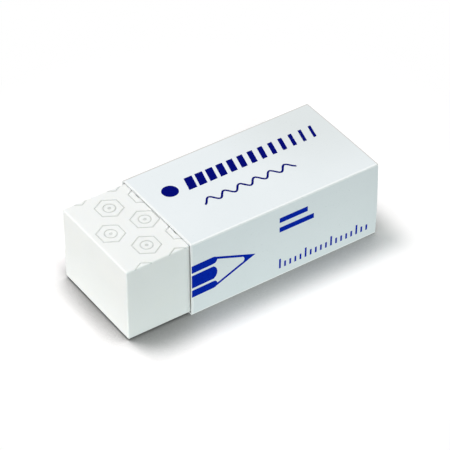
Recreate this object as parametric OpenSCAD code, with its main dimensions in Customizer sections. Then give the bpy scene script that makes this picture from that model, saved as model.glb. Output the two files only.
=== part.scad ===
// Vinyl block eraser in a folded, printed card sleeve.
// X runs along the block from its bare end, Y runs across it, and Z is up.
// The part stands on the sleeve's underside, and the origin is in the middle of its footprint.

/* [Eraser block] */
// Length of the block
block_l = 43; // [36:0.5:50]
// Width of the block
block_w = 18.5; // [17:0.5:26]
// Height of the block
block_h = 13.5; // [12:0.5:18]
// Radius of the block's edges
block_edge_r = 0.35; // [0.15:0.05:0.8]

/* [Pressed relief on the block] */
// Width of a hexagonal motif across its flats
motif_w = 4.2; // [3:0.1:5]
// Width of the grooves that draw the motifs
groove_w = 0.2; // [0.15:0.05:0.4]
// Depth of the grooves
groove_depth = 0.2; // [0.05:0.01:0.3]
// Outer diameter of the ring in each motif
ring_d = 2.2; // [1.6:0.1:2.4]
// Diameter of the dot in the middle of each motif
dot_d = 0.6; // [0.3:0.05:0.7]
// Distance between neighbouring motifs
motif_pitch = 6.2; // [5.6:0.1:9]
// Distance of the middle row's first motif from the bare end
motif_start = 3.1; // [2.6:0.1:5]

/* [Card sleeve] */
// Length of the sleeve
sleeve_l = 35.7; // [28:0.1:42]
// Length of the block that stands out of the sleeve
bare_l = 11.4; // [4:0.1:20]
// Thickness of the card
card_t = 0.25; // [0.15:0.05:0.5]
// Gap between the block and the card above and below
fit_gap = 0.1; // [0.02:0.01:0.15]
// Gap between the block and the card on each side
side_gap = 0.2; // [0.05:0.01:0.25]
// Inner radius of the four folds
fold_inner_r = 0.05; // [0.03:0.01:0.15]
// Outer radius of the four folds, which are creased sharp
fold_outer_r = 0.15; // [0.1:0.05:0.3]
// Width of the glued flap inside the back panel
flap_w = 8; // [4:0.5:10]
// Distance of the back panel's raw edge below the rounding of the fold
seam_gap = 0.25; // [0.1:0.05:1]

/* [Print on the top panel] */
// Thickness of the ink film
ink_t = 0.02; // [0.01:0.005:0.05]
// Height of the band of slanted bars
band_h = 2.9; // [1.5:0.1:3.5]
// Distance of the band's middle line behind the panel's middle line
band_y = 3.1; // [2:0.1:4]
// Distance of the band's first bar from the sleeve's near edge
band_start = 7.3; // [7:0.1:10]
// Distance of the band's end from the sleeve's far edge
band_end_gap = 1.7; // [1:0.1:4]
// Distance from one bar to the next
bar_pitch = 2; // [1.6:0.1:3]
// Width of the first and widest bar
bar_first_w = 1.5; // [1:0.05:1.55]
// Width of the last and narrowest bar
bar_last_w = 0.55; // [0.3:0.05:0.9]
// Forward lean of the bars over their height
bar_lean = 0.8; // [0:0.1:1.5]
// Diameter of the disc in front of the band
disc_d = 2.8; // [1.5:0.1:3]
// Distance of the disc's centre from the sleeve's near edge
disc_x = 4.6; // [3:0.1:5]
// Distance of the wavy line in front of the panel's middle line
wave_y = 2.1; // [1.5:0.1:4]
// Height of the wavy line from crest to trough
wave_h = 1.3; // [0.5:0.1:2]
// Length of one wave
wave_pitch = 2.9; // [2:0.1:5]
// Width of the wavy line's stroke
wave_stroke = 0.36; // [0.2:0.02:0.5]
// Distance of the wavy line's end from the sleeve's far edge
wave_end_gap = 10.4; // [4:0.1:14]

/* [Print on the side panel] */
// Length of the pencil figure from the sleeve's near edge to its tip
pencil_l = 12; // [10:0.1:14]
// Height of the pencil figure
pencil_h = 6.3; // [5:0.1:8]
// Distance of the pencil's middle line below the panel's middle line
pencil_drop = 0.2; // [0:0.1:1]
// Length of the pencil's lacquered shaft
shaft_l = 4.1; // [2:0.1:5]
// Height of the lacquered shaft's middle facet
facet_h = 2.5; // [1.5:0.1:2.8]
// Gap between the facets
facet_gap = 0.5; // [0.3:0.05:0.7]
// Reach of the scalloped ends of the facets
scallop = 0.7; // [0.3:0.05:1]
// Length of the pencil's lead
lead_l = 2.7; // [2:0.1:3.5]
// Width of the line around the sharpened wood
outline_w = 0.42; // [0.2:0.02:0.5]
// Distance of the short bars and the scale from the sleeve's near edge
notes_start = 16.6; // [15:0.1:18]
// Length of the upper short bar
upper_bar_l = 5.4; // [3:0.1:7]
// Length of the lower short bar
lower_bar_l = 6.6; // [3:0.1:8]
// Height of the short bars
short_bar_h = 0.95; // [0.4:0.05:1.2]
// Distance of the upper short bar's middle line below the sleeve's top
upper_bar_drop = 2.8; // [2:0.1:3]
// Distance from the upper short bar to the lower one
short_bar_pitch = 1.9; // [1.5:0.1:2.5]
// Distance of the scale's base line above the sleeve's underside
scale_base = 1.6; // [1:0.1:2]
// Height of the scale's short ticks
tick_h = 1.1; // [0.5:0.1:1.5]
// Height of every fifth tick
long_tick_h = 1.9; // [1:0.1:2.5]
// Width of a tick
tick_w = 0.34; // [0.15:0.01:0.5]
// Distance between ticks
tick_pitch = 1; // [0.8:0.1:2]
// Distance of the scale's end from the sleeve's far edge
scale_end_gap = 1.6; // [1:0.1:4]

/* [Hidden] */

$fn = 64;
arc_steps = 6;
wave_steps = 16;
ticks_per_long = 5;
cut_over = 1;

channel_w = block_w + 2 * side_gap;
channel_h = block_h + 2 * fit_gap;
sleeve_h = channel_h + 2 * card_t;
front_y = -(channel_w / 2 + card_t);
flap_y = channel_w / 2 + card_t;
back_y = flap_y + card_t;
part_l = max(block_l, bare_l + sleeve_l);
block_base = card_t + fit_gap;
motif_r = motif_w / 2 / cos(30);
row_pitch = motif_pitch * sin(60);

// Points of an arc about a centre, from one angle to another.
function arc(centre, r, from, to) =
    [for (i = [0:arc_steps])
        let (a = from + (to - from) * i / arc_steps)
        centre + r * [cos(a), sin(a)]];

// Outline of a rectangle about the origin with rounded corners.
function rounded_rect(w, h, r) =
    let (x = w / 2 - r, y = h / 2 - r)
    concat(
        arc([x, y], r, 0, 90),
        arc([-x, y], r, 90, 180),
        arc([-x, -y], r, 180, 270),
        arc([x, -y], r, 270, 360));

// A box about the origin whose edges are all rounded.
module rounded_box(l, w, h, r) {
    intersection() {
        linear_extrude(h + cut_over, center = true) polygon(rounded_rect(l, w, r));
        rotate([90, 0, 0])
            linear_extrude(w + cut_over, center = true) polygon(rounded_rect(l, h, r));
        rotate([90, 0, 90])
            linear_extrude(l + cut_over, center = true) polygon(rounded_rect(w, h, r));
    }
}

// One motif of thin grooves, cut downwards from the origin: a hexagon, a ring in it and a dot.
module motif() {
    cut_h = groove_depth + cut_over;
    translate([0, 0, -groove_depth]) {
        rotate([0, 0, 30])
            difference() {
                cylinder(r = motif_r, h = cut_h, $fn = 6);
                cylinder(r = motif_r - groove_w / cos(30), h = cut_h, $fn = 6);
            }
        difference() {
            cylinder(d = ring_d, h = cut_h);
            cylinder(d = ring_d - 2 * groove_w, h = cut_h);
        }
        cylinder(d = dot_d, h = cut_h);
    }
}

// The staggered rows of motifs, run off the long edges as when blocks are cut from a pressed slab.
module relief() {
    rows = ceil(block_w / row_pitch);
    columns = ceil(block_l / motif_pitch);
    for (row = [-rows:rows], column = [-1:columns]) {
        stagger = row % 2 == 0 ? 0 : motif_pitch / 2;
        x = motif_start + column * motif_pitch + stagger;
        y = row * row_pitch;
        if (x > motif_w / 2 && x < block_l - motif_w / 2 && abs(y) < block_w / 2 + 0.9 * motif_r)
            translate([x, y, 0]) motif();
    }
}

// Closed outline of the folded card, seen along the block.
function sleeve_outline() =
    let (r = fold_outer_r, seam_z = sleeve_h - r - seam_gap)
    concat(
        arc([front_y + r, r], r, 180, 270),
        arc([back_y - r, r], r, 270, 360),
        [[back_y, seam_z], [flap_y, seam_z]],
        arc([flap_y - r, sleeve_h - r], r, 0, 90),
        arc([front_y + r, sleeve_h - r], r, 90, 180));

// Outline of the channel inside, which is one card thickness wider below the glued flap.
function channel_outline() =
    let (
        r = fold_inner_r,
        half_w = channel_w / 2,
        top_z = sleeve_h - card_t,
        flap_z = top_z - flap_w)
    concat(
        arc([-half_w + r, card_t + r], r, 180, 270),
        arc([flap_y - r, card_t + r], r, 270, 360),
        [[flap_y, flap_z], [half_w, flap_z]],
        arc([half_w - r, top_z - r], r, 0, 90),
        arc([-half_w + r, top_z - r], r, 90, 180));

// A row of leaning bars that grow narrower from the first to the last.
module fading_bars(l) {
    last = floor((l - bar_last_w - bar_lean) / bar_pitch);
    for (i = [0:last]) {
        w = bar_first_w + (bar_last_w - bar_first_w) * i / last;
        translate([i * bar_pitch, -band_h / 2])
            polygon([[0, 0], [w, 0], [w + bar_lean, band_h], [bar_lean, band_h]]);
    }
}

// A wavy line along X, drawn as a stroke of even width.
module wavy_line(l) {
    waves = floor(l / wave_pitch);
    last = waves * wave_steps;
    function point(i, side) =
        let (
            a = 360 * i / wave_steps,
            slope = wave_h / 2 * sin(a) * 2 * PI / wave_pitch,
            normal = [-slope, 1] / norm([-slope, 1]))
        [wave_pitch * i / wave_steps, -wave_h / 2 * cos(a)] + normal * side * wave_stroke / 2;
    polygon(concat(
        [for (i = [0:last]) point(i, -1)],
        [for (i = [last:-1:0]) point(i, 1)]));
}

// One facet of the pencil's shaft, with a scalloped end towards the tip.
module facet(h, y) {
    reach = min(scallop, h / 2);
    r = (pow(h / 2, 2) + pow(reach, 2)) / (2 * reach);
    half_a = asin(h / 2 / r);
    translate([shaft_l, y])
        polygon(concat(
            [[-shaft_l, h / 2], [-shaft_l, -h / 2]],
            arc([reach - r, 0], r, -half_a, half_a)));
}

// A sharpened hexagonal pencil that points along X, with its middle line on X.
module pencil() {
    half_h = pencil_h / 2;
    outer_facet_h = half_h - facet_h / 2 - facet_gap;
    outer_facet_y = half_h - outer_facet_h / 2;
    cone_l = pencil_l - shaft_l;
    wood_l = cone_l - lead_l;
    rise = outline_w * norm([cone_l, half_h]) / cone_l;
    lead_half_h = half_h * lead_l / cone_l - rise;
    facet(facet_h, 0);
    facet(outer_facet_h, outer_facet_y);
    facet(outer_facet_h, -outer_facet_y);
    translate([shaft_l, 0])
        difference() {
            polygon([[0, -half_h], [cone_l, 0], [0, half_h]]);
            polygon(concat(
                [[0, half_h - rise], [0, rise - half_h]],
                arc([wood_l, 0], lead_half_h, -90, 90)));
        }
}

// Two short bars, one above the other, hung from the middle line of the upper one.
module short_bars() {
    translate([0, -short_bar_h / 2])
        square([upper_bar_l, short_bar_h]);
    translate([0, -short_bar_pitch - short_bar_h / 2])
        square([lower_bar_l, short_bar_h]);
}

// A plain scale: a row of upright ticks, every fifth of them longer.
module scale_ticks(l) {
    for (i = [0:floor(l / tick_pitch)])
        translate([i * tick_pitch, 0])
            square([tick_w, i % ticks_per_long == 0 ? long_tick_h : tick_h]);
}

// Moves the parts so that the middle of the whole footprint is at the origin.
module centred() {
    translate([-part_l / 2, -(front_y + back_y) / 2, 0]) children();
}

module eraser_block() {
    color("whitesmoke")
        centred()
            difference() {
                translate([block_l / 2, 0, block_base + block_h / 2])
                    rounded_box(block_l, block_w, block_h, block_edge_r);
                translate([0, 0, block_base + block_h]) relief();
            }
}

module card_sleeve() {
    color("aliceblue")
        centred()
            translate([bare_l, 0, 0])
                rotate([90, 0, 90])
                    linear_extrude(sleeve_l)
                        difference() {
                            polygon(sleeve_outline());
                            polygon(channel_outline());
                        }
}

module top_print() {
    color("midnightblue")
        centred()
            translate([bare_l, 0, sleeve_h])
                linear_extrude(ink_t) {
                    translate([disc_x, band_y]) circle(d = disc_d);
                    translate([band_start, band_y])
                        fading_bars(sleeve_l - band_start - band_end_gap);
                    translate([band_start, -wave_y])
                        wavy_line(sleeve_l - band_start - wave_end_gap);
                }
}

module side_print() {
    color("mediumblue")
        centred()
            translate([bare_l, front_y, 0])
                rotate([90, 0, 0])
                    linear_extrude(ink_t) {
                        translate([0, sleeve_h / 2 - pencil_drop]) pencil();
                        translate([notes_start, sleeve_h - upper_bar_drop]) short_bars();
                        translate([notes_start, scale_base])
                            scale_ticks(sleeve_l - notes_start - scale_end_gap - tick_w);
                    }
}

eraser_block();
card_sleeve();
top_print();
side_print();
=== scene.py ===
"""Looks of the block eraser in its card sleeve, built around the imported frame."""
import math

import bpy
import numpy as np
from mathutils import Matrix, Vector
from mathutils.geometry import delaunay_2d_cdt


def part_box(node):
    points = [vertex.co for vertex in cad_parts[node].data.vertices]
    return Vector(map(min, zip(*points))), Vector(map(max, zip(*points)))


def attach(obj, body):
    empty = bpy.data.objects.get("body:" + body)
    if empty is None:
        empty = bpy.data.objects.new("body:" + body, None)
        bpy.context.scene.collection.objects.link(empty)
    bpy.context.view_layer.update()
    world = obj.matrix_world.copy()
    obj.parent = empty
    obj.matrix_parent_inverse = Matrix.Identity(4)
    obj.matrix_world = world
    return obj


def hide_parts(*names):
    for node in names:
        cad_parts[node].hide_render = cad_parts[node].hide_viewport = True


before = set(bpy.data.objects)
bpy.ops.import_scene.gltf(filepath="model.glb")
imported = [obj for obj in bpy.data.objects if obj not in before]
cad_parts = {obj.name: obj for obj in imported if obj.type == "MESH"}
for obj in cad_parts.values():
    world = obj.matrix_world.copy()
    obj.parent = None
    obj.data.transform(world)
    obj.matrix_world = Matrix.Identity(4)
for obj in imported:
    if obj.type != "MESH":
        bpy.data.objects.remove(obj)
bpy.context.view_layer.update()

MM = 0.001

# The block, in millimetres. Its size and place come from the frame.
# Its edges are crisper and its grooves shallower than the solid's, to look as they do in the photo.
EDGE_R = 0.24
MOTIF_W = 4.2
GROOVE_W = 0.2
GROOVE_DEPTH = 0.12
GROOVE_WALL = 0.08
RING_D = 2.2
DOT_D = 0.6
MOTIF_PITCH = 6.2
ROW_PITCH = MOTIF_PITCH * math.sin(math.radians(60))
MOTIF_START = 3.1
# How far off a long edge a motif's centre may be, as a share of the motif's corner radius.
MOTIF_OVERHANG = 0.9

# The block's mesh: degrees between rings round an edge, and distance of points along a straight side.
EDGE_STEP = 15
CORNER_STEPS = 6
SIDE_SPACING = 1.0
# Curves along each groove's wall reach a little beyond it, as shares of the wall's width.
WALL_CURVES = 5
WALL_REACH = 0.52
HEXAGON_SIDE_STEPS = 8
RING_POINTS = 40
DOT_POINTS = 20
SLOPE_STEP = 0.0002
SAME_POINT = 1e-5
NO_LENGTH = 1e-9

# The sleeve, in millimetres. Its size and place come from the frame.
CARD_T = 0.25
FOLD_INNER_R = 0.05
FOLD_OUTER_R = 0.15
FLAP_W = 8.0
SEAM_GAP = 0.25
# How far the panels bow out: by the crown all along, and by more at a mouth, fading over a reach.
CROWN = 0.035
TOP_MOUTH_BOW = 0.04
SIDE_MOUTH_BOW = 0.15
MOUTH_REACH = 5.0

# The sleeve's mesh: parts of a fold's arc and of each panel, places along the sleeve,
# and the angle in degrees from which an edge is sharp.
FOLD_STEPS = 6
PANEL_STEPS = 16
TOP_STEPS = 24
BACK_LOW_STEPS = 12
BACK_HIGH_STEPS = 8
STATIONS = 33
SHARP_ANGLE = 40

# Wear and painted light on the card's coat: widths of its edge lines and reach of its painted corner
# shade, in metres, and colours.
# Whiter along the near folds and near mouth: partly rubbed coat, partly a painted highlight.
RUB_AND_HIGHLIGHT_W = 0.4 * MM
RUB_AND_HIGHLIGHT_FROM = 0.6 * RUB_AND_HIGHLIGHT_W
RUB_AND_HIGHLIGHT_WHITE = (0.99, 0.995, 1.0)
# A grey line along the far back fold and far mouth: painted shade.
SHADE_LINE_W = 0.26 * MM
SHADE_LINE_FROM = 0.5 * SHADE_LINE_W
SHADE_LINE_GREY = (0.70, 0.69, 0.67)
# Darker towards the far back top corner: painted shade.
CORNER_SHADE_FROM = 5 * MM
CORNER_SHADE_TO = 23 * MM
CORNER_SHADE_COAT = (0.785, 0.815, 0.82)

# The colours between which each material is mottled.
COAT = ((0.86, 0.895, 0.915), (0.885, 0.915, 0.935))
CARD_BACK = ((0.25, 0.25, 0.235), (0.38, 0.38, 0.36))
CARD_CORE = ((0.84, 0.85, 0.85), (0.92, 0.93, 0.93))
VINYL = ((0.915, 0.92, 0.905), (0.94, 0.94, 0.925))
# Darker vinyl in the grooves: painted shade.
GROOVE_SHADE_VINYL = ((0.66, 0.67, 0.65), (0.72, 0.73, 0.71))
DARK_INK = ((0.0005, 0.002, 0.15), (0.001, 0.004, 0.20))
BLUE_INK = ((0.0005, 0.015, 0.38), (0.001, 0.028, 0.48))

# The camera: place, lens and sensor in millimetres, angles in degrees.
CAMERA_AT = (-170.89, -254.45, 259.30)
CAMERA_AZIMUTH = -34.01
CAMERA_ELEVATION = 39.58
CAMERA_ROLL = -0.24
CAMERA_LENS = 199.8
CAMERA_SENSOR = 36

# The studio's soft boxes: azimuth and elevation in degrees, distance, width and height in metres,
# power in watts, colour.
SOFT_BOXES = {
    "overhead": (-150, 70, 0.60, 0.20, 0.20, 1.89, (1.0, 0.975, 0.985)),
    "left": (-88, 4, 0.20, 0.06, 0.02, 0.148, (1.0, 1.0, 0.97)),
    "front": (-2, 6, 0.30, 0.03, 0.03, 0.155, (0.82, 1.0, 0.98)),
    "front_edge": (-4, 40, 0.40, 0.03, 0.03, 0.24, (0.95, 1.0, 0.99)),
    "rear_edge": (-136, 25, 0.40, 0.03, 0.03, 0.036, (1.0, 1.0, 1.0)),
    "right": (95, 6, 0.30, 0.05, 0.05, 0.12, (0.95, 1.0, 0.98)),
    "back": (180, 6, 0.30, 0.05, 0.05, 0.12, (0.95, 1.0, 0.98)),
}
AMBIENT = 0.335
AMBIENT_TINT = (0.92, 1.0, 0.985)

# The floor as the camera sees it. It turns white between two distances from the origin, in metres.
FLOOR_HALF_MM = 2000
FLOOR_SEEN = 1.14
FLOOR_TINT = (1.01, 0.98, 0.98)
WHITE_FROM = 0.034
WHITE_TO = 0.06

# The floor as it lights the object: its grey, and a glow that fades between two distances in metres.
FLOOR_BOUNCE = 0.25
TABLE_GLOW = 0.395
TABLE_TINT = (0.90, 1.0, 0.98)
GLOW_FROM = 0.015
GLOW_TO = 0.06

# The floor's contact shade: its share of the floor's tone, and the openness at which it is full.
CONTACT_SHADE = 0.25
SHUT_IN = 0.25
SHADE_SAMPLES = 8
# How far round the object it looks, in metres: less beyond the bare end, and behind the block,
# where the change starts at a share of the block's half width.
CONTACT_REACH = 0.010
END_REACH = 0.006
BESIDE_END = 0.001
BEHIND_FROM = 0.5
# How much it leans towards a point under the block, and where that fades, in metres from the bare end.
SHADE_LEAN = 0.55
LEAN_FROM = 0.001
LEAN_TO = 0.018
HEART_IN = 0.006


def in_mm(node):
    """A CAD node's lowest and highest corners, in millimetres."""
    low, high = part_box(node)
    return np.array(low) / MM, np.array(high) / MM


def make_object(name, points_mm, faces, materials, face_slots=None):
    """A mesh object from points in millimetres."""
    mesh = bpy.data.meshes.new(name)
    mesh.from_pydata([Vector(p) * MM for p in points_mm], [], faces)
    for material in materials:
        mesh.materials.append(material)
    if face_slots is not None:
        mesh.polygons.foreach_set("material_index", face_slots)
    mesh.update()
    piece = bpy.data.objects.new(name, mesh)
    bpy.context.scene.collection.objects.link(piece)
    return piece


# ---------------------------------------------------------------- block


def arc(centre, r, start, end, steps):
    """Points of an arc, angles in degrees."""
    angles = np.radians(np.linspace(start, end, steps + 1))
    return [(centre[0] + r * math.cos(a), centre[1] + r * math.sin(a)) for a in angles]


def points_between(start, end, spacing):
    """Points inside a straight side, about a spacing apart."""
    start, end = np.array(start), np.array(end)
    count = int(np.linalg.norm(end - start) / spacing)
    return [tuple(start + (end - start) * k / count) for k in range(1, count)]


def ring_at(half, spread):
    """Closed outline of the block's flat core, grown by spread, with points along its straight sides."""
    core = half - EDGE_R
    steps = CORNER_STEPS if spread > 0 else 0
    turns = []
    for quarter, signs in enumerate(((1, 1), (-1, 1), (-1, -1), (1, -1))):
        turns.append(arc(core * signs, spread, 90 * quarter, 90 * quarter + 90, steps))
    points = []
    for turn, following in zip(turns, turns[1:] + turns[:1]):
        points += turn + points_between(turn[-1], following[0], SIDE_SPACING)
    return points


def motif_centres(low, high):
    """Centres of the pressed motifs, in staggered rows that run off the block's long edges."""
    middle_y = (low[1] + high[1]) / 2
    furthest_y = (high[1] - low[1]) / 2 + MOTIF_OVERHANG * MOTIF_W / 2 / math.cos(math.radians(30))
    rows = math.ceil((high[1] - low[1]) / ROW_PITCH)
    columns = math.ceil((high[0] - low[0]) / MOTIF_PITCH)
    centres = []
    for row in range(-rows, rows + 1):
        stagger = 0 if row % 2 == 0 else MOTIF_PITCH / 2
        y = row * ROW_PITCH
        for column in range(-1, columns + 1):
            x = low[0] + MOTIF_START + column * MOTIF_PITCH + stagger
            if low[0] + MOTIF_W / 2 < x < high[0] - MOTIF_W / 2 and abs(y) < furthest_y:
                centres.append((x, middle_y + y))
    return np.array(centres)


def distance_into_groove(points, centres):
    """How far each point is inside the nearest groove's outline: negative outside it."""
    nearest = np.full(len(points), -math.inf)
    normals = [np.array((math.cos(a), math.sin(a))) for a in np.radians(range(0, 360, 60))]
    for centre in centres:
        offsets = points - centre
        radius = np.linalg.norm(offsets, axis=1)
        from_hexagon = MOTIF_W / 2 - np.max([offsets @ normal for normal in normals], axis=0)
        for inside in (from_hexagon, RING_D / 2 - radius):
            nearest = np.maximum(nearest, GROOVE_W / 2 - np.abs(inside - GROOVE_W / 2))
        nearest = np.maximum(nearest, DOT_D / 2 - radius)
    return nearest


def relief(points, centres):
    """Depth of the pressed grooves below the top, with soft walls."""
    share = np.clip(distance_into_groove(points, centres) / GROOVE_WALL + 0.5, 0, 1)
    return GROOVE_DEPTH * share * share * (3 - 2 * share)


def relief_slope(points, centres):
    """Slope of the pressed grooves along X and along Y."""
    steps = ((SLOPE_STEP, 0), (0, SLOPE_STEP))
    rises = [relief(points + step, centres) - relief(points - step, centres) for step in steps]
    return np.stack(rises, axis=1) / (2 * SLOPE_STEP)


def hexagon_at(centre, apothem, steps):
    """Closed outline of a hexagon that points along Y, with points along its sides."""
    radius = apothem / math.cos(math.radians(30))
    corners = [np.array(corner) for corner in arc(centre, radius, 30, 330, 5)]
    points = []
    for corner, following in zip(corners, corners[1:] + corners[:1]):
        points += [corner + (following - corner) * i / steps for i in range(steps)]
    return points


def circle_at(centre, r, count):
    """Closed outline of a circle."""
    return arc(centre, r, 0, 360 - 360 / count, count - 1)


def relief_curves(centres):
    """Closed curves along the walls of each groove, so that the mesh follows them."""
    curves = []
    for centre in centres:
        for offset in np.linspace(-WALL_REACH, WALL_REACH, WALL_CURVES) * GROOVE_WALL:
            for inset in (0, GROOVE_W):
                curves.append(hexagon_at(centre, MOTIF_W / 2 - inset - offset, HEXAGON_SIDE_STEPS))
                curves.append(circle_at(centre, RING_D / 2 - inset - offset, RING_POINTS))
            curves.append(circle_at(centre, DOT_D / 2 - offset, DOT_POINTS))
    return curves


def soft_max(a, b, power=4):
    """The larger of two depths, blended where they are alike, and the share of each in its slope."""
    total = (a ** power + b ** power) ** (1 / power)
    safe = np.where(total > 0, total, 1)
    return total, (a / safe) ** (power - 1), (b / safe) ** (power - 1)


def core_offset(points, half):
    """Distance of each point beyond the block's flat core, and its direction."""
    beyond = np.maximum(np.abs(points) - (half - EDGE_R), 0)
    distance = np.linalg.norm(beyond, axis=1)
    safe = np.where(distance > 0, distance, 1)
    return distance, np.sign(points) * beyond / safe[:, None]


def triangulate(curves):
    """Points and triangles of a flat mesh that follows closed curves."""
    corners, edges = [], []
    for curve in curves:
        first = len(corners)
        corners += [Vector((x, y)) for x, y in curve]
        edges += [(first + i, first + (i + 1) % len(curve)) for i in range(len(curve))]
    points, _, faces, *_ = delaunay_2d_cdt(corners, edges, [], 0, SAME_POINT)
    return np.array([tuple(p) for p in points]), np.array([f for f in faces if len(f) == 3])


def flat_top(middle, half, centres):
    """Points and triangles of the block's top, seen from above."""
    spreads = [EDGE_R * math.sin(math.radians(a)) for a in range(0, 91, EDGE_STEP)]
    rings = [np.array(ring_at(half, spread)) + middle for spread in spreads]
    points, triangles = triangulate(rings + relief_curves(centres))
    distance, _ = core_offset(points[triangles].mean(axis=1) - middle, half)
    used, triangles = np.unique(triangles[distance < EDGE_R], return_inverse=True)
    return points[used], triangles.reshape(-1, 3)


def block_top(low, high):
    """Points, normals and triangles of the block's top, and which of the triangles are in a groove."""
    middle = (low[:2] + high[:2]) / 2
    half = (high[:2] - low[:2]) / 2
    centres = motif_centres(low, high)
    points, triangles = flat_top(middle, half, centres)
    sunk = distance_into_groove(points[triangles].mean(axis=1), centres) > 0

    distance, out = core_offset(points - middle, half)
    distance = np.minimum(distance, EDGE_R)
    cosine = np.sqrt(np.maximum(EDGE_R ** 2 - distance ** 2, 0)) / EDGE_R
    depth, rim_share, relief_share = soft_max(EDGE_R * (1 - cosine), relief(points, centres))
    rim_slope = (rim_share * distance / EDGE_R)[:, None] * out
    groove_slope = (relief_share * cosine)[:, None] * relief_slope(points, centres)
    normals = np.column_stack([rim_slope + groove_slope, cosine])
    normals[np.linalg.norm(normals, axis=1) < NO_LENGTH] = (0, 0, 1)
    return np.column_stack([points, high[2] - depth]), normals, triangles, sunk


def open_loop(triangles):
    """The boundary of a triangle mesh as one ordered loop of points."""
    edges = dict.fromkeys(edge for a, b, c in triangles for edge in ((a, b), (b, c), (c, a)))
    follow = {a: b for a, b in edges if (b, a) not in edges}
    start = next(iter(follow))
    loop = [start]
    while follow[loop[-1]] != start:
        loop.append(follow[loop[-1]])
    return loop


def wall_ring(inner, out, bottom, angle):
    """Points and normals of a ring round the block: its side at 90 degrees, its underside at 0."""
    sine, cosine = math.sin(math.radians(angle)), math.cos(math.radians(angle))
    heights = np.full(len(inner), bottom + EDGE_R * (1 - cosine))
    downward = np.full(len(inner), -cosine)
    points = np.column_stack([inner + out * EDGE_R * sine, heights])
    return points, np.column_stack([out * sine, downward])


def make_block(vinyl, groove):
    """The vinyl block: one closed mesh with true normals from its formula."""
    low, high = in_mm("eraser_block")
    middle = (low[:2] + high[:2]) / 2
    half = (high[:2] - low[:2]) / 2
    points, normals, triangles, sunk = block_top(low, high)
    faces = [tuple(int(i) for i in t) for t in triangles]
    previous = open_loop(triangles)
    count = len(previous)
    rim = points[previous][:, :2]
    _, out = core_offset(rim - middle, half)
    inner = rim - out * EDGE_R
    normals[previous, 2] = 0
    for angle in range(90, -1, -EDGE_STEP):
        ring, ring_normals = wall_ring(inner, out, low[2], angle)
        current = list(range(len(points), len(points) + count))
        points = np.vstack([points, ring])
        normals = np.vstack([normals, ring_normals])
        for k in range(count):
            after = (k + 1) % count
            faces.append((previous[k], current[k], current[after], previous[after]))
        previous = current
    faces.append(tuple(previous))
    # Faces in the grooves take the darker vinyl: painted shade.
    slots = [int(s) for s in sunk] + [0] * (len(faces) - len(sunk))
    piece = make_object("vinyl_block", points, faces, [vinyl, groove], slots)
    normals = normals / np.linalg.norm(normals, axis=1)[:, None]
    piece.data.shade_smooth()
    piece.data.normals_split_custom_set_from_vertices([tuple(n) for n in normals])
    return piece


# ---------------------------------------------------------------- sleeve


def bow(x, ends):
    """How far the middle of a side panel and of the top panel stands out at a place along the sleeve."""
    near = np.minimum(x - ends[0], ends[1] - x)
    fading = np.exp(-near / MOUTH_REACH)
    return CROWN + SIDE_MOUTH_BOW * fading, CROWN + TOP_MOUTH_BOW * fading


def bowed_share(place, start, end):
    """The share of a panel's bow at a place between its folds: 0 at both, and 1 midway."""
    return 1 - (2 * (place - start) / (end - start) - 1) ** 2


def panel(start, end, out, count):
    """Points from a fold to the next, each with the direction and share of the panel's bow."""
    start, end = np.array(start), np.array(end)
    shares = np.linspace(0, 1, count + 1)[1:-1]
    return [(start + (end - start) * k, np.array(out) * bowed_share(k, 0, 1)) for k in shares]


def still(points):
    """Points that don't bow."""
    return [(np.array(p), np.zeros(2)) for p in points]


def back_points(heights, y, bottom, top):
    """Points up the back panel, which bows as one sheet whichever layer they are on."""
    return [(np.array((y, z)), np.array((bowed_share(z, bottom, top), 0.0))) for z in heights]


def skin_outline(low, high, inset, r, upper_y, step_z):
    """A skin of the folded card across its length, as (point, bow) pairs, stepped in at the back seam."""
    front_y, lower_y = low[1] + inset, high[1] - inset
    bottom_z, top_z = low[2] + inset, high[2] - inset
    front, bottom, top = front_y + r, bottom_z + r, top_z - r
    outline = still(arc((front, bottom), r, 180, 270, FOLD_STEPS))
    outline += panel((front, bottom_z), (lower_y - r, bottom_z), (0, 0), PANEL_STEPS)
    outline += still(arc((lower_y - r, bottom), r, 270, 360, FOLD_STEPS))
    outline += back_points(np.linspace(bottom, step_z, BACK_LOW_STEPS + 1)[1:], lower_y, bottom, top)
    outline += back_points(np.linspace(step_z, top, BACK_HIGH_STEPS + 1)[:-1], upper_y, bottom, top)
    outline += still(arc((upper_y - r, top), r, 0, 90, FOLD_STEPS))
    outline += panel((upper_y - r, top_z), (front, top_z), (0, 1), TOP_STEPS)
    outline += still(arc((front, top), r, 90, 180, FOLD_STEPS))
    outline += panel((front_y, top), (front_y, bottom), (-1, 0), PANEL_STEPS)
    return outline


def sleeve_outlines(low, high):
    """The outer and the inner skin's outlines. At the back a flap is glued inside the outer panel."""
    flap_y = high[1] - CARD_T
    raw_edge_z = high[2] - FOLD_OUTER_R - SEAM_GAP
    flap_edge_z = high[2] - CARD_T - FLAP_W
    outer = skin_outline(low, high, 0, FOLD_OUTER_R, flap_y, raw_edge_z)
    inner = skin_outline(low, high, CARD_T, FOLD_INNER_R, flap_y - CARD_T, flap_edge_z)
    return outer, inner


def stations(start, end):
    """Places along the sleeve, closer together near its two mouths."""
    return start + (end - start) * (1 - np.cos(np.linspace(0, math.pi, STATIONS))) / 2


def skin_faces(first, count, inside):
    """Faces of a skin whose rows of points go round the card, one at each place along it."""
    faces = []
    for row in range(STATIONS - 1):
        for k in range(count):
            a = first + row * count + k
            b = first + row * count + (k + 1) % count
            quad = (a, a + count, b + count, b)
            faces.append(quad[::-1] if inside else quad)
    return faces


def mouth_faces(outer, inner, count, near):
    """The card's cut edge at a mouth, between the outer and the inner skin's rows of points."""
    faces = []
    for k in range(count):
        after = (k + 1) % count
        a, b, c, d = outer + k, outer + after, inner + after, inner + k
        faces.append((a, d, c, b) if near else (a, b, c, d))
    return faces


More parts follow.
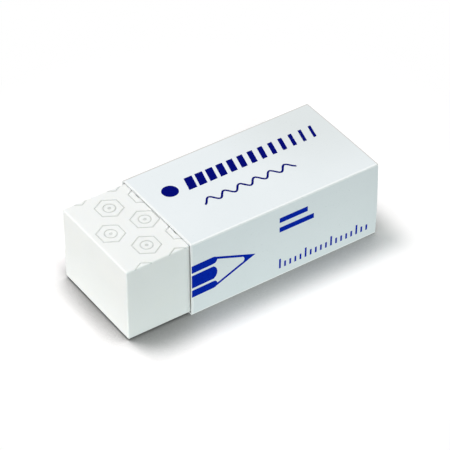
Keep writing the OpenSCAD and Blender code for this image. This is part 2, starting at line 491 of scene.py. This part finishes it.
def make_sleeve(coated, inside, cut):
    """The folded card: an outer and an inner skin, joined by the cut edges at its mouths."""
    low, high = in_mm("card_sleeve")
    outlines = sleeve_outlines(low, high)
    count = len(outlines[0])
    points = []
    for outline in outlines:
        for x in stations(low[0], high[0]):
            heights = np.array(bow(x, (low[0], high[0])))
            points += [(x, *(p + out * heights)) for p, out in outline]
    skin = STATIONS * count
    last_row = skin - count
    groups = (
        skin_faces(0, count, False),
        skin_faces(skin, count, True),
        mouth_faces(0, skin, count, True) + mouth_faces(last_row, skin + last_row, count, False),
    )
    faces = [face for group in groups for face in group]
    slots = [slot for slot, group in enumerate(groups) for _ in group]
    piece = make_object("card_tube", points, faces, [coated, inside, cut], slots)
    piece.data.shade_smooth()
    piece.data.set_sharp_from_angle(angle=math.radians(SHARP_ANGLE))
    return piece


def lay_print(node, name, material):
    """The ink of a CAD node, laid on the bowed panel under it."""
    low, high = in_mm("card_sleeve")
    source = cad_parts[node].data
    points = np.array([v.co for v in source.vertices]) / MM
    faces = [tuple(p.vertices) for p in source.polygons]
    side_bow, top_bow = bow(points[:, 0], (low[0], high[0]))
    if node == "top_print":
        start, end = low[1] + FOLD_OUTER_R, high[1] - CARD_T - FOLD_OUTER_R
        points[:, 2] += top_bow * bowed_share(points[:, 1], start, end)
    else:
        start, end = low[2] + FOLD_OUTER_R, high[2] - FOLD_OUTER_R
        points[:, 1] -= side_bow * bowed_share(points[:, 2], start, end)
    return make_object(name, points, faces, [material])


# ---------------------------------------------------------------- shader nodes


def new_material(name):
    """A node material, its node tree and its shader."""
    material = bpy.data.materials.new(name)
    material.use_nodes = True
    tree = material.node_tree
    shader = next(n for n in tree.nodes if n.type == "BSDF_PRINCIPLED")
    return material, tree, shader


def feed(tree, socket, value):
    """Gives a socket a value, or links another node's output to it."""
    if isinstance(value, bpy.types.NodeSocket):
        tree.links.new(value, socket)
    else:
        socket.default_value = value


def add_node(tree, kind, **inputs):
    """A shader node with its sockets set by name: a value, or another node's output."""
    node = tree.nodes.new(kind)
    for name, value in inputs.items():
        feed(tree, node.inputs[name.replace("_", " ")], value)
    return node


def object_place(tree):
    """The shaded point's place in the object's own space, in metres."""
    return tree.nodes.new("ShaderNodeTexCoord").outputs["Object"]


def add_math(tree, operation, first, second):
    """The result of a sum on two numbers."""
    node = tree.nodes.new("ShaderNodeMath")
    node.operation = operation
    feed(tree, node.inputs[0], first)
    feed(tree, node.inputs[1], second)
    return node.outputs[0]


def vector_math(tree, operation, result, first, second=None):
    """A named result of a sum on a vector and, if given, a second one or the number that scales it."""
    node = tree.nodes.new("ShaderNodeVectorMath")
    node.operation = operation
    feed(tree, node.inputs[0], first)
    if second is not None:
        feed(tree, node.inputs["Scale"] if operation == "SCALE" else node.inputs[1], second)
    return node.outputs[result]


def smooth_step(tree, value, start, end, low, high):
    """A number that runs smoothly from low to high as a value runs from start to end."""
    step = add_node(
        tree, "ShaderNodeMapRange",
        Value=value, From_Min=start, From_Max=end, To_Min=low, To_Max=high)
    step.interpolation_type = "SMOOTHSTEP"
    return step.outputs["Result"]


def add_noise(tree, scale, detail, roughness=0.5):
    """Noise in the object's own space, with a scale in cells per metre."""
    noise = add_node(
        tree, "ShaderNodeTexNoise",
        Vector=object_place(tree), Scale=scale, Detail=detail, Roughness=roughness)
    return noise.outputs["Fac"]


def add_ramp(tree, value, low, high, start=0.3, end=0.7):
    """A colour that runs from low to high with a value."""
    ramp = add_node(tree, "ShaderNodeValToRGB", Fac=value)
    for element, position, colour in zip(ramp.color_ramp.elements, (start, end), (low, high)):
        element.position = position
        element.color = (*colour, 1)
    return ramp.outputs["Color"]


def add_range(tree, value, low, high):
    """A number that runs from low to high with a value from 0 to 1."""
    mapped = add_node(tree, "ShaderNodeMapRange", Value=value, To_Min=low, To_Max=high)
    return mapped.outputs["Result"]


def add_bump(tree, height, distance, strength):
    """A bump of a given height in metres."""
    bump = add_node(tree, "ShaderNodeBump", Height=height, Distance=distance, Strength=strength)
    return bump.outputs["Normal"]


def mix_colours(tree, share, first, second):
    """A colour that runs from the first to a plain second one with a share from 0 to 1."""
    mix = add_node(tree, "ShaderNodeMixRGB", Fac=share, Color1=first, Color2=(*second, 1))
    return mix.outputs["Color"]


def mix_shaders(tree, share, first, second):
    """One shader that runs from the first to the second with a share from 0 to 1."""
    mix = tree.nodes.new("ShaderNodeMixShader")
    for socket, output in zip(mix.inputs, (share, first, second)):
        tree.links.new(output, socket)
    return mix.outputs[0]


def seen_by(tree, *kinds):
    """1 for rays of the given kinds, and 0 for the others."""
    path = tree.nodes.new("ShaderNodeLightPath")
    total = path.outputs[kinds[0]]
    for kind in kinds[1:]:
        total = add_math(tree, "MAXIMUM", total, path.outputs[kind])
    return total


# ---------------------------------------------------------------- materials


def vinyl_material(name, low, high):
    """Plasticised vinyl: matt, a little waxy, with a fine moulded grain."""
    material, tree, shader = new_material(name)
    cloud = add_noise(tree, scale=180, detail=3)
    grain = add_noise(tree, scale=6000, detail=3)
    feed(tree, shader.inputs["Base Color"], add_ramp(tree, cloud, low, high))
    feed(tree, shader.inputs["Roughness"], add_range(tree, grain, low=0.42, high=0.6))
    feed(tree, shader.inputs["Normal"], add_bump(tree, grain, distance=0.00002, strength=0.4))
    feed(tree, shader.inputs["IOR"], 1.53)
    feed(tree, shader.inputs["Subsurface Weight"], 0.25)
    feed(tree, shader.inputs["Subsurface Radius"], (1.0, 0.95, 0.85))
    feed(tree, shader.inputs["Subsurface Scale"], 0.0008)
    return material


def side_distances(tree, node):
    """Distances of the shaded point from the low and the high sides of a CAD node's box, in metres."""
    low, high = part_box(node)
    split = add_node(tree, "ShaderNodeSeparateXYZ", Vector=object_place(tree))
    from_low = [add_math(tree, "SUBTRACT", split.outputs[axis], low[axis]) for axis in range(3)]
    from_high = [add_math(tree, "SUBTRACT", high[axis], split.outputs[axis]) for axis in range(3)]
    return from_low, from_high


def near_edge_distance(tree, from_low, from_high):
    """Distance along the card from its front folds and near mouth."""
    from_floor_or_top = add_math(tree, "MINIMUM", from_low[2], from_high[2])
    from_front_fold = add_math(tree, "MAXIMUM", from_low[1], from_floor_or_top)
    return add_math(tree, "MINIMUM", from_front_fold, from_low[0])


def far_edge_distance(tree, from_high):
    """Distance along the top panel from its back fold and far mouth."""
    from_back_side = add_math(tree, "MAXIMUM", from_high[1], from_high[2])
    from_back_fold = add_math(tree, "SUBTRACT", from_back_side, (CARD_T + FOLD_OUTER_R) * MM)
    from_far_mouth = add_math(tree, "MAXIMUM", from_high[0], from_high[2])
    return add_math(tree, "MINIMUM", from_back_fold, from_far_mouth)


def far_corner_distance(tree, node):
    """Distance of the shaded point from the far back top corner of a CAD node's box."""
    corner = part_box(node)[1]
    return vector_math(tree, "DISTANCE", "Value", object_place(tree), corner)


def coat_wear_and_painted_light(tree, coat):
    """The coat's colour, with painted shade round the far corner, whiter along near edges (rubbed coat
    and a painted highlight) and with a painted shade line along far ones.
    """
    from_corner = far_corner_distance(tree, "card_sleeve")
    from_low, from_high = side_distances(tree, "card_sleeve")
    from_near_edge = near_edge_distance(tree, from_low, from_high)
    from_far_edge = far_edge_distance(tree, from_high)
    # Painted shade round the far corner.
    corner_shade = smooth_step(tree, from_corner, CORNER_SHADE_FROM, CORNER_SHADE_TO, 1.0, 0.0)
    # Whiter along near edges: rubbed coat and a painted highlight.
    rub_and_highlight = smooth_step(tree, from_near_edge, RUB_AND_HIGHLIGHT_FROM, RUB_AND_HIGHLIGHT_W, 1.0, 0.0)
    # A grey line along far edges: painted shade.
    shade_line = smooth_step(tree, from_far_edge, SHADE_LINE_FROM, SHADE_LINE_W, 1.0, 0.0)
    colour = mix_colours(tree, corner_shade, coat, CORNER_SHADE_COAT)
    colour = mix_colours(tree, rub_and_highlight, colour, RUB_AND_HIGHLIGHT_WHITE)
    return mix_colours(tree, shade_line, colour, SHADE_LINE_GREY)


def coated_card_material(low, high):
    """The card's white coated face, smooth, whiter at its near edges (rubbed coat and a painted
    highlight) and with painted shade at its far edges and far corner.
    """
    material, tree, shader = new_material("coated_card")
    cloud = add_noise(tree, scale=90, detail=3)
    fibre = add_noise(tree, scale=3500, detail=5, roughness=0.6)
    feed(tree, shader.inputs["Base Color"], coat_wear_and_painted_light(tree, add_ramp(tree, cloud, low, high)))
    feed(tree, shader.inputs["Roughness"], add_range(tree, fibre, low=0.26, high=0.30))
    feed(tree, shader.inputs["Normal"], add_bump(tree, fibre, distance=0.00001, strength=0.03))
    feed(tree, shader.inputs["IOR"], 1.5)
    return material


def raw_card_material(name, low, high):
    """Uncoated card, matt and with coarse fibres."""
    material, tree, shader = new_material(name)
    fibre = add_noise(tree, scale=5000, detail=6, roughness=0.7)
    feed(tree, shader.inputs["Base Color"], add_ramp(tree, fibre, low, high))
    feed(tree, shader.inputs["Normal"], add_bump(tree, fibre, distance=0.00004, strength=0.6))
    feed(tree, shader.inputs["Roughness"], 0.92)
    return material


def ink_material(name, low, high):
    """Offset ink: an even film that takes the card's texture, a touch uneven in tone."""
    material, tree, shader = new_material(name)
    mottle = add_noise(tree, scale=2500, detail=4, roughness=0.6)
    fibre = add_noise(tree, scale=3500, detail=5, roughness=0.6)
    feed(tree, shader.inputs["Base Color"], add_ramp(tree, mottle, low, high))
    feed(tree, shader.inputs["Roughness"], add_range(tree, fibre, low=0.34, high=0.5))
    feed(tree, shader.inputs["Normal"], add_bump(tree, fibre, distance=0.00001, strength=0.03))
    feed(tree, shader.inputs["Specular IOR Level"], 0.008)
    return material


# ---------------------------------------------------------------- studio


def aim(azimuth, elevation, roll=0.0):
    """Rotation of a camera or lamp that looks at the origin from an azimuth and an elevation."""
    turn, rise, tilt = (math.radians(angle) for angle in (azimuth, elevation, roll))
    level = math.cos(rise)
    back = Vector((math.sin(turn) * level, -math.cos(turn) * level, math.sin(rise)))
    right = Vector((0, 0, 1)).cross(back).normalized()
    up = back.cross(right)
    turned_right = math.cos(tilt) * right + math.sin(tilt) * up
    turned_up = -math.sin(tilt) * right + math.cos(tilt) * up
    return Matrix((turned_right, turned_up, back)).transposed(), back


def make_camera():
    """The camera, in the photographer's place."""
    data = bpy.data.cameras.new("camera")
    data.lens = CAMERA_LENS
    data.sensor_width = CAMERA_SENSOR
    data.clip_start = 0.01
    rotation, _ = aim(CAMERA_AZIMUTH, CAMERA_ELEVATION, CAMERA_ROLL)
    camera = bpy.data.objects.new("camera", data)
    camera.matrix_world = Matrix.Translation(Vector(CAMERA_AT) * MM) @ rotation.to_4x4()
    bpy.context.scene.collection.objects.link(camera)
    bpy.context.scene.camera = camera


def make_lamp(name, azimuth, elevation, distance, width, height, power, colour):
    """A soft box that points at the origin."""
    data = bpy.data.lights.new(name, "AREA")
    data.shape = "RECTANGLE"
    data.size = width
    data.size_y = height
    data.energy = power
    data.color = colour
    rotation, back = aim(azimuth, elevation)
    lamp = bpy.data.objects.new(name, data)
    lamp.matrix_world = Matrix.Translation(back * distance) @ rotation.to_4x4()
    lamp.visible_camera = False
    bpy.context.scene.collection.objects.link(lamp)


def make_world():
    """A white backdrop, and an even dimmer light from all round."""
    world = bpy.data.worlds.new("studio")
    bpy.context.scene.world = world
    world.use_nodes = True
    tree = world.node_tree
    tree.nodes.clear()
    light = add_node(tree, "ShaderNodeBackground", Color=(*AMBIENT_TINT, 1), Strength=AMBIENT)
    white = add_node(tree, "ShaderNodeBackground", Color=(1, 1, 1, 1), Strength=1)
    seen = seen_by(tree, "Is Camera Ray", "Is Glossy Ray", "Is Transmission Ray")
    surface = mix_shaders(tree, seen, light.outputs[0], white.outputs[0])
    add_node(tree, "ShaderNodeOutputWorld", Surface=surface)


def shade_reach(tree, bare_end, back, split):
    """How far round the object its contact shade looks: less beyond its bare end and behind it."""
    along, across = split.outputs["X"], split.outputs["Y"]
    beside = smooth_step(
        tree, along, bare_end - BESIDE_END, bare_end + BESIDE_END, END_REACH, CONTACT_REACH)
    behind = smooth_step(tree, across, BEHIND_FROM * back, back, CONTACT_REACH, END_REACH)
    return add_math(tree, "MINIMUM", beside, behind)


def shade_direction(tree, bare_end, place, split):
    """The way in which the contact shade looks: up, and round the bare end also in under the block."""
    along = split.outputs["X"]
    heart = (bare_end + HEART_IN, 0, 0)
    lean = smooth_step(tree, along, bare_end + LEAN_FROM, bare_end + LEAN_TO, SHADE_LEAN, 0.0)
    to_heart = vector_math(tree, "SUBTRACT", "Vector", heart, place)
    inward = vector_math(tree, "NORMALIZE", "Vector", to_heart)
    leaning = vector_math(tree, "SCALE", "Vector", inward, lean)
    raised = vector_math(tree, "ADD", "Vector", leaning, (0, 0, 1))
    return vector_math(tree, "NORMALIZE", "Vector", raised)


def floor_tone(tree, place):
    """The floor's tone as the camera sees it, darker where the object shuts it in."""
    low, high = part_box("eraser_block")
    split = add_node(tree, "ShaderNodeSeparateXYZ", Vector=place)
    reach = shade_reach(tree, low[0], high[1], split)
    direction = shade_direction(tree, low[0], place, split)
    openness = add_node(tree, "ShaderNodeAmbientOcclusion", Distance=reach, Normal=direction)
    openness.samples = SHADE_SAMPLES
    return smooth_step(tree, openness.outputs["AO"], SHUT_IN, 1.0, FLOOR_SEEN * CONTACT_SHADE, FLOOR_SEEN)


def floor_seen(tree, place, radius, white):
    """The floor as the camera sees it: pale and shaded near the object, and plain white far off."""
    colour = vector_math(tree, "SCALE", "Vector", FLOOR_TINT, floor_tone(tree, place))
    lit = add_node(tree, "ShaderNodeBsdfDiffuse", Color=colour)
    away = smooth_step(tree, radius, WHITE_FROM, WHITE_TO, 0.0, 1.0)
    return mix_shaders(tree, away, lit.outputs[0], white)


def floor_unseen(tree, radius, white):
    """The floor as it lights the object: a grey that glows near it, and plain white in reflections."""
    grey = (FLOOR_BOUNCE, FLOOR_BOUNCE, FLOOR_BOUNCE, 1)
    bounce = add_node(tree, "ShaderNodeBsdfDiffuse", Color=grey)
    strength = smooth_step(tree, radius, GLOW_FROM, GLOW_TO, TABLE_GLOW, 0.0)
    glow = add_node(tree, "ShaderNodeEmission", Color=(*TABLE_TINT, 1), Strength=strength)
    upward = tree.nodes.new("ShaderNodeAddShader")
    feed(tree, upward.inputs[0], bounce.outputs[0])
    feed(tree, upward.inputs[1], glow.outputs[0])
    reflected = seen_by(tree, "Is Glossy Ray", "Is Transmission Ray")
    return mix_shaders(tree, reflected, upward.outputs[0], white)


def floor_material():
    """The floor's material: one look for the camera, and another for the light it gives the object."""
    material = bpy.data.materials.new("pale_floor")
    material.use_nodes = True
    tree = material.node_tree
    tree.nodes.clear()
    place = object_place(tree)
    radius = vector_math(tree, "LENGTH", "Value", place)
    white = add_node(tree, "ShaderNodeEmission", Strength=1.0).outputs[0]
    seen = floor_seen(tree, place, radius, white)
    unseen = floor_unseen(tree, radius, white)
    surface = mix_shaders(tree, seen_by(tree, "Is Camera Ray"), unseen, seen)
    add_node(tree, "ShaderNodeOutputMaterial", Surface=surface)
    return material


def make_floor():
    """A pale floor that keeps the object's soft shadow and runs out to plain white."""
    corners = [(x * FLOOR_HALF_MM, y * FLOOR_HALF_MM, 0) for x, y in ((-1, -1), (1, -1), (1, 1), (-1, 1))]
    piece = make_object("floor", corners, [(0, 1, 2, 3)], [floor_material()])


vinyl = vinyl_material("white_vinyl", *VINYL)
# Darker vinyl for the grooves: painted shade.
groove_shade_vinyl = vinyl_material("vinyl_with_painted_groove_shade", *GROOVE_SHADE_VINYL)
block = make_block(vinyl, groove_shade_vinyl)
card_back = raw_card_material("grey_card_back", *CARD_BACK)
card_core = raw_card_material("cut_card_edge", *CARD_CORE)
sleeve = make_sleeve(coated_card_material(*COAT), card_back, card_core)
top_ink = lay_print("top_print", "top_ink", ink_material("dark_blue_ink", *DARK_INK))
side_ink = lay_print("side_print", "side_ink", ink_material("blue_ink", *BLUE_INK))
for piece, node, body, slot in (
    (block, "eraser_block", "block", "vinyl"),
    (sleeve, "card_sleeve", "sleeve", "card"),
    (top_ink, "top_print", "sleeve", "dark_ink"),
    (side_ink, "side_print", "sleeve", "blue_ink"),
):
    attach(piece, body)
    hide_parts(node)

make_camera()
make_world()
for name, settings in SOFT_BOXES.items():
    make_lamp(name, *settings)
make_floor()
bpy.context.scene.view_settings.view_transform = "Standard"
